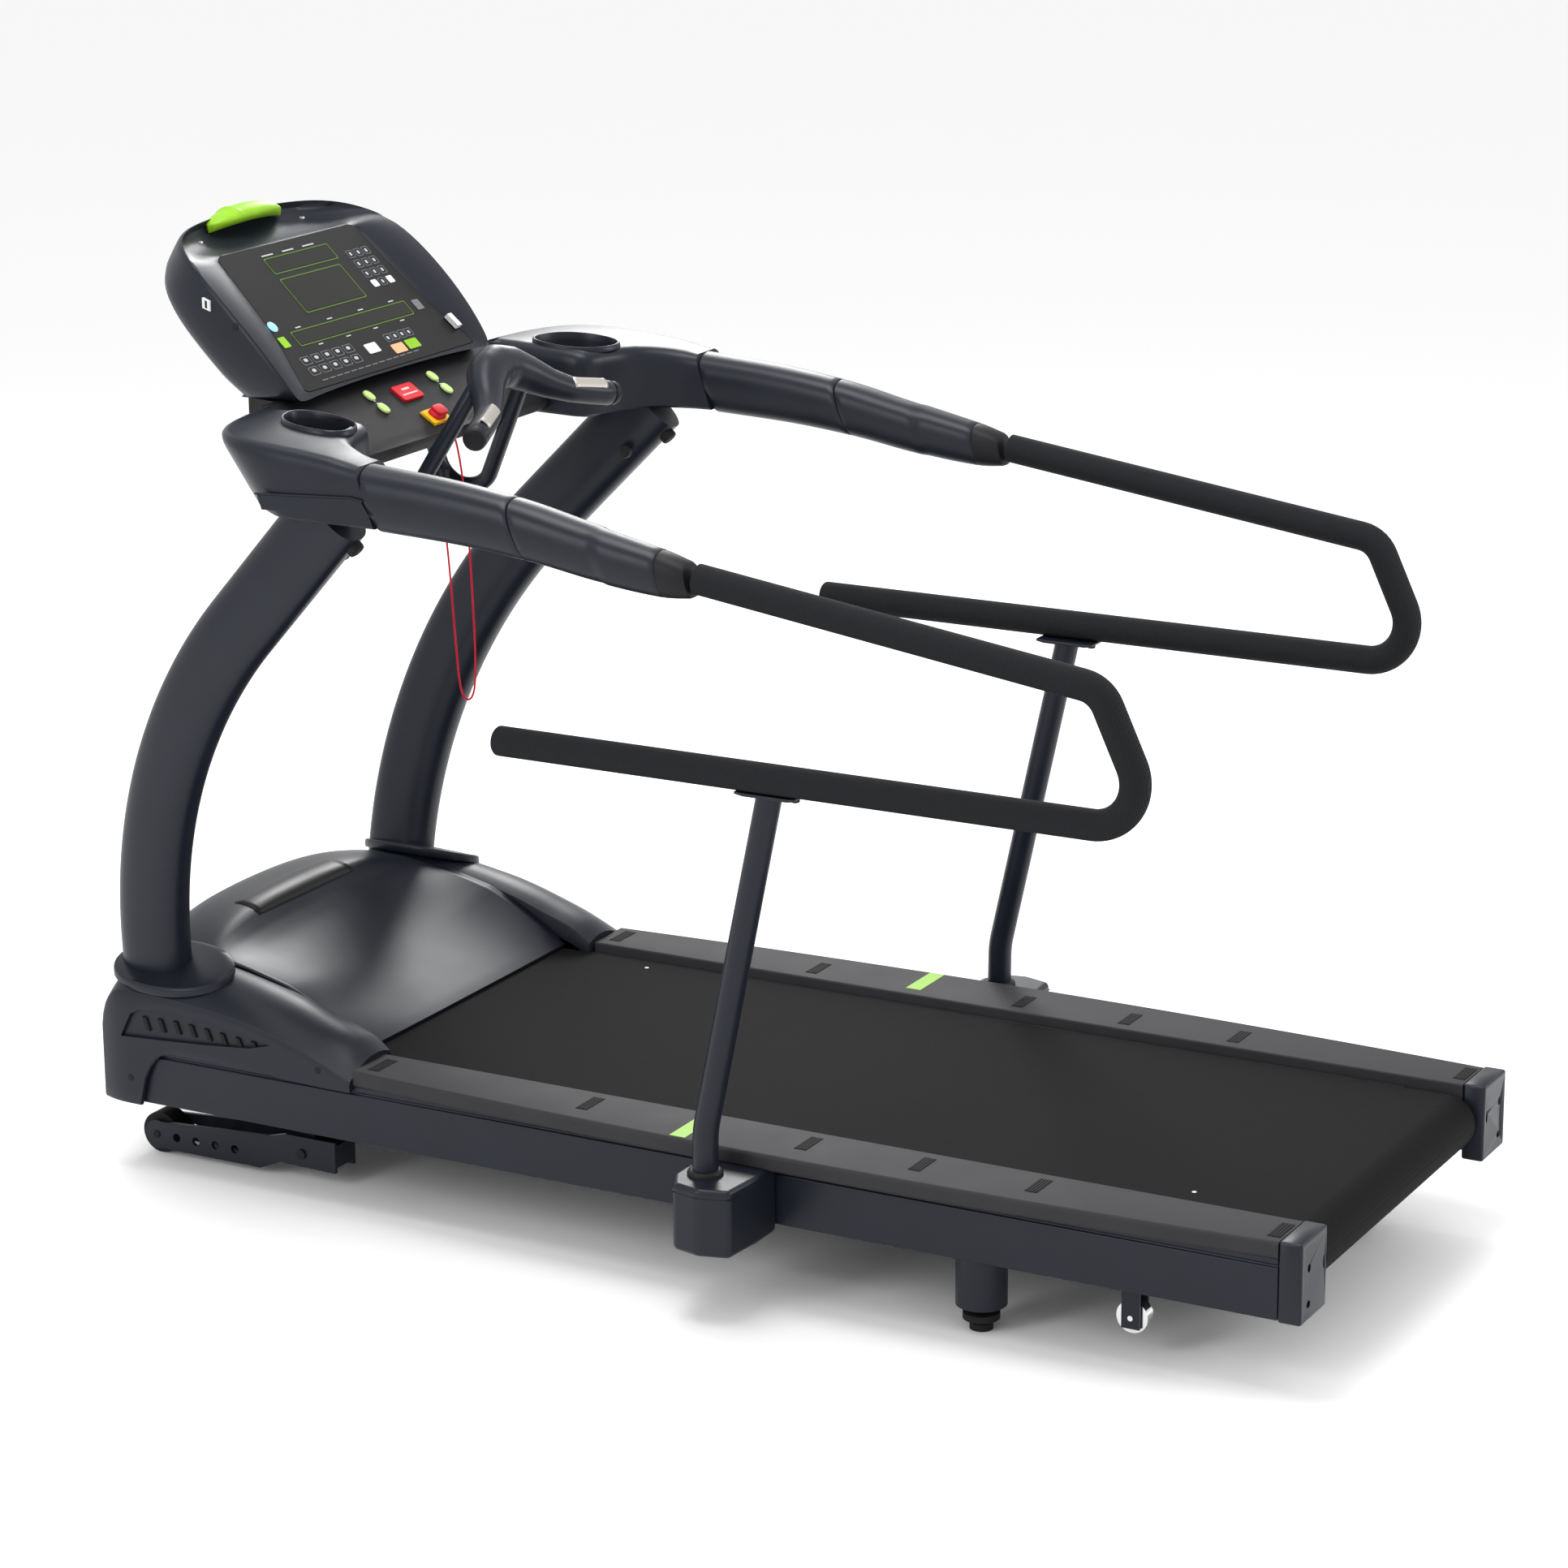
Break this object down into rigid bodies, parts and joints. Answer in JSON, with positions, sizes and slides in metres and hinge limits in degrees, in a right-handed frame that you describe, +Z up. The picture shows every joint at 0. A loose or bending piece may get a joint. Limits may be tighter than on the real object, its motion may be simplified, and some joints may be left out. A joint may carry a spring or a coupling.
{
  "type": "medical treadmill",
  "caption": "Motorised flat-deck walking treadmill with tilting lift frame, curved columns, console and full-length wrap-round handrails.",
  "frame": {"origin": "on the floor, at the centre of the footprint", "axes": "+Y in the walking direction, towards the console; +X to the walker's right; +Z up"},
  "size_m": [1.0878, 2.05, 1.478],
  "materials": {
    "frame_paint": "satin",
    "shell_plastic": "satin moulded",
    "tread_plastic": "matt, fine grain",
    "pad_rubber": "matt",
    "marker_green": "satin",
    "accent_green": "gloss",
    "belt_rubber": "matt, fine weave",
    "drive_rubber": "ribbed",
    "deck_board_wood": "waxed board",
    "steel_turned": "turned",
    "motor_paint": "satin",
    "foot_steel": "zinc plated",
    "wheel_tyre": "satin",
    "sleeve_foam": "ribbed foam",
    "dash_plastic": "matt",
    "overlay_film": "semi-gloss film",
    "stop_red": "satin",
    "key_green": "satin",
    "seat_yellow": "satin",
    "tether_red": "braided",
    "clip_black": "satin",
    "contact_steel": "brushed"
  },
  "bodies": {
    "frame": {"arm_front_left": "shell_plastic", "arm_front_right": "shell_plastic", "arm_mid_covers": "shell_plastic", "arm_rear_covers": "shell_plastic", "column_left": "frame_paint", "column_right": "frame_paint", "console_accent": "accent_green", "console_bezel": "dash_plastic", "console_overlay": "overlay_film", "console_shell": "shell_plastic", "dash_beam": "frame_paint", "dash_panel": "dash_plastic", "deck_cushions": "pad_rubber", "drive_belt": "drive_rubber", "drive_motor": "motor_paint", "footrail_left": "tread_plastic", "footrail_right": "tread_plastic", "frame_crossmembers": "frame_paint", "grip_bar": "shell_plastic", "grip_contacts": "contact_steel", "grip_legs": "frame_paint", "grip_sleeves": "sleeve_foam", "handrail_left": "frame_paint", "handrail_posts": "frame_paint", "handrail_right": "frame_paint", "hood_side_left": "shell_plastic", "hood_side_right": "shell_plastic", "hood_top": "shell_plastic", "lift_actuator": "motor_paint", "lift_brackets": "frame_paint", "pins_and_screws": "steel_turned", "post_brackets": "shell_plastic", "power_inlet": "clip_black", "rear_caps": "shell_plastic", "running_deck": "deck_board_wood", "safety_key_seat": "seat_yellow", "safety_tether": "tether_red", "side_rails": "frame_paint", "step_markers": "marker_green", "tether_clip": "clip_black", "tread_pads": "pad_rubber", "trim_collars": "shell_plastic", "underframe_brackets": "frame_paint", "walking_belt": "belt_rubber"},
    "lift_arms": {"lift_frame": "frame_paint"},
    "lift_wheel_l": {"lift_wheel_left": "wheel_tyre"},
    "lift_wheel_r": {"lift_wheel_right": "wheel_tyre"},
    "screw": {"lift_screw": "steel_turned"},
    "front_drum": {"front_roller": "steel_turned"},
    "rear_drum": {"rear_roller": "steel_turned"},
    "motor_rotor": {"motor_pulley": "steel_turned"},
    "foot_l": {"levelling_foot_left": "foot_steel"},
    "foot_r": {"levelling_foot_right": "foot_steel"},
    "caster_l": {"transport_wheel_left": "wheel_tyre"},
    "caster_r": {"transport_wheel_right": "wheel_tyre"},
    "key_stop": {"stop_key": "stop_red"},
    "key_incline": {"incline_rocker": "key_green"},
    "key_speed": {"speed_rocker": "key_green"},
    "key_safety": {"safety_key": "stop_red"},
    "switch": {"power_switch": "clip_black"}
  },
  "joints": [
    {"name": "lift_swing", "type": "hinge", "parent": "frame", "child": "lift_arms", "pos_m": [0, 0.665, 0.047], "axis": [1, 0, 0], "range_deg": [-40, 0]},
    {"name": "lift_wheel_l_spin", "type": "hinge", "parent": "lift_arms", "child": "lift_wheel_l", "pos_m": [-0.302, 0.941, 0.033], "axis": [1, 0, 0], "continuous": true},
    {"name": "lift_wheel_r_spin", "type": "hinge", "parent": "lift_arms", "child": "lift_wheel_r", "pos_m": [0.302, 0.941, 0.033], "axis": [1, 0, 0], "continuous": true},
    {"name": "lift_screw_travel", "type": "slide", "parent": "frame", "child": "screw", "axis": [0, 1, 0], "range_m": [-0.001, 0.0335]},
    {"name": "front_roller_spin", "type": "hinge", "parent": "frame", "child": "front_drum", "pos_m": [0, 0.62, 0.175], "axis": [1, 0, 0], "continuous": true},
    {"name": "rear_roller_spin", "type": "hinge", "parent": "frame", "child": "rear_drum", "pos_m": [0, -0.975, 0.175], "axis": [1, 0, 0], "continuous": true},
    {"name": "motor_spin", "type": "hinge", "parent": "frame", "child": "motor_rotor", "pos_m": [0, 0.8, 0.218], "axis": [1, 0, 0], "continuous": true},
    {"name": "foot_l_adjust", "type": "slide", "parent": "frame", "child": "foot_l", "axis": [0, 0, -1], "range_m": [0, 0.02]},
    {"name": "foot_r_adjust", "type": "slide", "parent": "frame", "child": "foot_r", "axis": [0, 0, -1], "range_m": [0, 0.02]},
    {"name": "caster_l_spin", "type": "hinge", "parent": "frame", "child": "caster_l", "pos_m": [-0.352, -0.757, 0.062], "axis": [1, 0, 0], "continuous": true},
    {"name": "caster_r_spin", "type": "hinge", "parent": "frame", "child": "caster_r", "pos_m": [0.352, -0.757, 0.062], "axis": [1, 0, 0], "continuous": true},
    {"name": "stop_press", "type": "slide", "parent": "frame", "child": "key_stop", "axis": [0, 0.543, -0.8398], "range_m": [0, 0.0012], "stiffness_N_per_m": 1500, "springref_m": -0.001},
    {"name": "incline_rock", "type": "hinge", "parent": "frame", "child": "key_incline", "pos_m": [-0.088, 0.645, 1.1889], "axis": [1, 0, 0], "range_deg": [-2, 2], "stiffness_Nm_per_rad": 1.5},
    {"name": "speed_rock", "type": "hinge", "parent": "frame", "child": "key_speed", "pos_m": [0.088, 0.645, 1.1889], "axis": [1, 0, 0], "range_deg": [-2, 2], "stiffness_Nm_per_rad": 1.5},
    {"name": "safety_key_pull", "type": "slide", "parent": "frame", "child": "key_safety", "axis": [0, -0.543, 0.8398], "range_m": [0, 0.02]},
    {"name": "power_rock", "type": "hinge", "parent": "frame", "child": "switch", "pos_m": [-0.182, 1.014, 0.167], "axis": [1, 0, 0], "range_deg": [-8, 8]}
  ],
  "couplings": [
    {"joint": "lift_screw_travel", "follows": "lift_swing", "m_per_rad": -0.046},
    {"joint": "rear_roller_spin", "follows": "front_roller_spin", "ratio": 1},
    {"joint": "motor_spin", "follows": "front_roller_spin", "ratio": 2}
  ]
}
